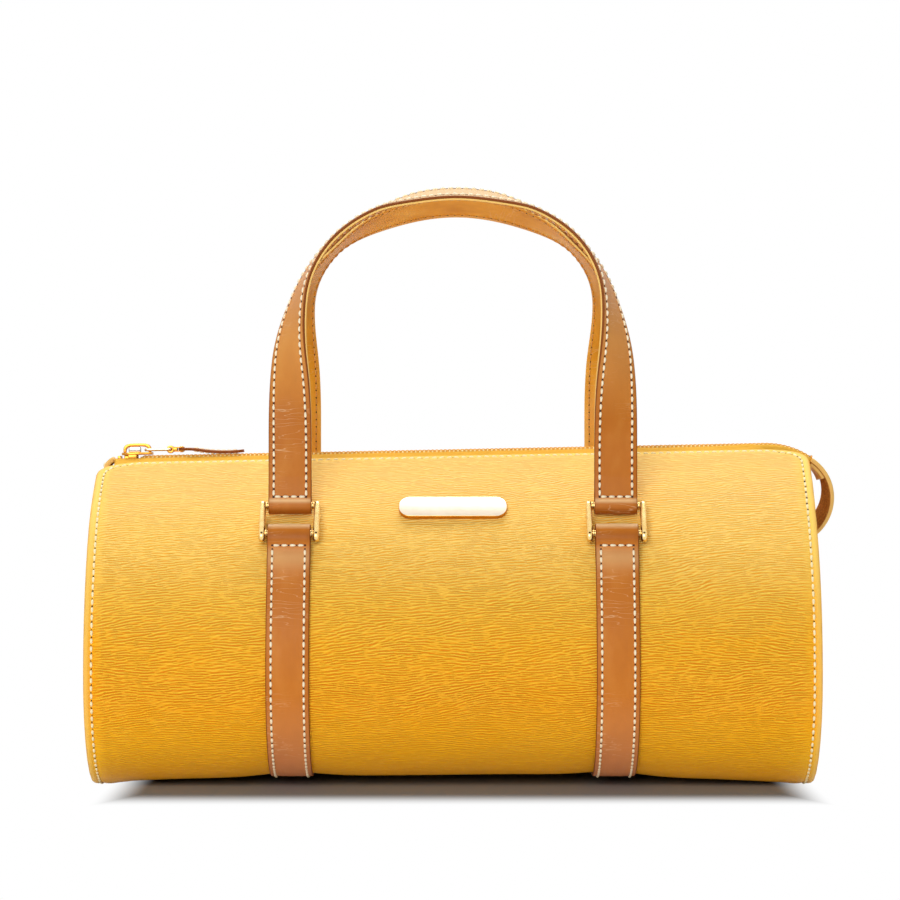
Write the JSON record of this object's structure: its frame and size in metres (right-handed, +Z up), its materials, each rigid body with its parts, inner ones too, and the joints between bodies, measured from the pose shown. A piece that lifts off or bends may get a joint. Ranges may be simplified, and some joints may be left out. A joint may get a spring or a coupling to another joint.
{
  "type": "barrel handbag",
  "caption": "Barrel handbag of grained leather with a top zip, strap handles on link buckles, straps round the base and a bare plate on the front.",
  "frame": {"origin": "middle of the bounding box on the floor, under the bag", "axes": "+X along the barrel towards the end with the loop, -Y out of the front with the plate, +Z up"},
  "size_m": [0.327, 0.1586, 0.2648],
  "materials": {
    "yellow_leather": "fine grained, semi-matt",
    "tan_leather": "smooth, semi-gloss",
    "handle_lining_leather": "smooth, semi-matt",
    "lining_cloth": "woven",
    "fibre_board": "matt",
    "polished_plate": "polished pale gold",
    "gold_metal": "polished",
    "bright_gold": "polished",
    "zip_tape": "woven",
    "zip_coil": "satin nylon"
  },
  "bodies": {
    "bag": {"body_panel": "yellow_leather", "left_end_panel": "yellow_leather", "right_end_panel": "yellow_leather", "left_end_stiffener": "fibre_board", "right_end_stiffener": "fibre_board", "base_stiffener": "fibre_board", "lining": "lining_cloth", "left_end_lining": "lining_cloth", "right_end_lining": "lining_cloth", "inner_pocket": "lining_cloth", "pocket_trim": "tan_leather", "left_base_strap": "tan_leather", "right_base_strap": "tan_leather", "front_plate": "polished_plate", "plate_posts": "gold_metal", "plate_washers": "gold_metal", "front_zip_tape": "zip_tape", "back_zip_tape": "zip_tape", "front_zip_teeth": "zip_coil", "back_zip_teeth": "zip_coil", "zip_top_stops": "gold_metal", "zip_bottom_stop": "gold_metal", "left_zip_tab": "yellow_leather", "right_zip_loop": "yellow_leather"},
    "slider": {"slider_body": "gold_metal", "slider_bail": "gold_metal"},
    "pull_link": {"pull_ring": "bright_gold"},
    "pull": {"pull_clasp": "gold_metal", "pull_leather": "tan_leather", "pull_rivet": "bright_gold"},
    "front_left_link": {"front_left_link_plates": "gold_metal", "front_left_link_pins": "bright_gold"},
    "front_right_link": {"front_right_link_plates": "gold_metal", "front_right_link_pins": "bright_gold"},
    "back_left_link": {"back_left_link_plates": "gold_metal", "back_left_link_pins": "bright_gold"},
    "back_right_link": {"back_right_link_plates": "gold_metal", "back_right_link_pins": "bright_gold"},
    "front_carry_handle": {"front_handle": "tan_leather", "front_handle_folds": "tan_leather", "front_handle_lining": "handle_lining_leather"},
    "back_carry_handle": {"back_handle": "tan_leather", "back_handle_folds": "tan_leather", "back_handle_lining": "handle_lining_leather"}
  },
  "joints": [
    {"name": "zip_slide", "type": "slide", "parent": "bag", "child": "slider", "axis": [0.9998, 0, 0.0201], "range_m": [0, 0.27], "deforming": ["front_zip_teeth", "back_zip_teeth"]},
    {"name": "pull_link_swing", "type": "hinge", "parent": "slider", "child": "pull_link", "pos_m": [-0.14361, 0, 0.14654], "axis": [0, -1, 0], "range_deg": [0, 120]},
    {"name": "pull_swing", "type": "hinge", "parent": "pull_link", "child": "pull", "pos_m": [-0.13262, 0, 0.14676], "axis": [0, -1, 0], "range_deg": [0, 80]},
    {"name": "front_left_link_swing", "type": "hinge", "parent": "bag", "child": "front_left_link", "pos_m": [-0.07646, -0.06196, 0.11064], "axis": [1, 0, 0], "range_deg": [0, 60]},
    {"name": "front_right_link_swing", "type": "hinge", "parent": "bag", "child": "front_right_link", "pos_m": [0.06454, -0.06196, 0.11064], "axis": [1, 0, 0], "range_deg": [0, 60]},
    {"name": "front_handle_swing", "type": "hinge", "parent": "front_left_link", "child": "front_carry_handle", "pos_m": [-0.07646, -0.05233, 0.1224], "axis": [1, 0, 0], "range_deg": [-12, 90]},
    {"name": "back_left_link_swing", "type": "hinge", "parent": "bag", "child": "back_left_link", "pos_m": [-0.07646, 0.06196, 0.11064], "axis": [-1, 0, 0], "range_deg": [0, 60]},
    {"name": "back_right_link_swing", "type": "hinge", "parent": "bag", "child": "back_right_link", "pos_m": [0.06454, 0.06196, 0.11064], "axis": [-1, 0, 0], "range_deg": [0, 60]},
    {"name": "back_handle_swing", "type": "hinge", "parent": "back_left_link", "child": "back_carry_handle", "pos_m": [-0.07646, 0.05233, 0.1224], "axis": [-1, 0, 0], "range_deg": [-12, 90]}
  ],
  "couplings": [
    {"joint": "front_right_link_swing", "follows": "front_left_link_swing", "ratio": 1},
    {"joint": "back_right_link_swing", "follows": "back_left_link_swing", "ratio": 1}
  ]
}
